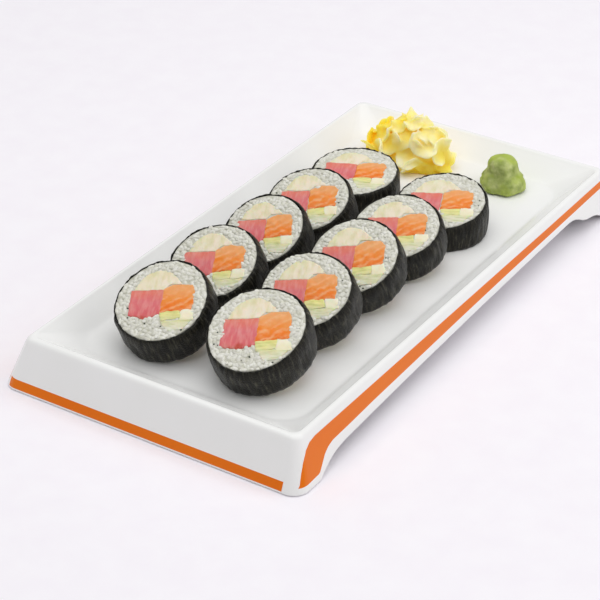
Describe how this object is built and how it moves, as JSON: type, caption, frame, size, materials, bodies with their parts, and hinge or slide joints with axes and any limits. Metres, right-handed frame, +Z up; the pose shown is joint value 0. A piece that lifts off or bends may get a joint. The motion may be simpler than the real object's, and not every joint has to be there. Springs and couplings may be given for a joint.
{
  "type": "maki roll platter",
  "caption": "Footed porcelain platter with shingled rows of thick maki rolls, a heap of pickled ginger and a cone of wasabi.",
  "frame": {"origin": "under the middle of the platter, on the table", "axes": "+X across the platter to its right-hand side, +Y along it from the front end to the end with the ginger and wasabi, +Z up"},
  "size_m": [0.187, 0.3576, 0.0581],
  "materials": {
    "platter": "glossy white glaze with orange bands",
    "nori": "dark green-black roasted seaweed, slightly moist and wrinkled",
    "rice": "moist white cooked grains",
    "tuna": "moist red raw fish",
    "salmon": "moist orange raw fish with pale lines of fat",
    "white_fish": "moist cream-coloured flesh",
    "avocado": "soft pale-green flesh",
    "ginger": "moist pale-yellow slices",
    "wasabi": "matt green paste"
  },
  "bodies": {
    "root": {"platter": "platter", "roll_left_1": "nori", "roll_left_2": "nori", "roll_left_3": "nori", "roll_left_4": "nori", "roll_left_5": "nori", "roll_right_1": "nori", "roll_right_2": "nori", "roll_right_3": "nori", "roll_right_4": "nori", "roll_right_5": "nori", "ginger": "ginger", "wasabi": "wasabi"}
  },
  "joints": []
}
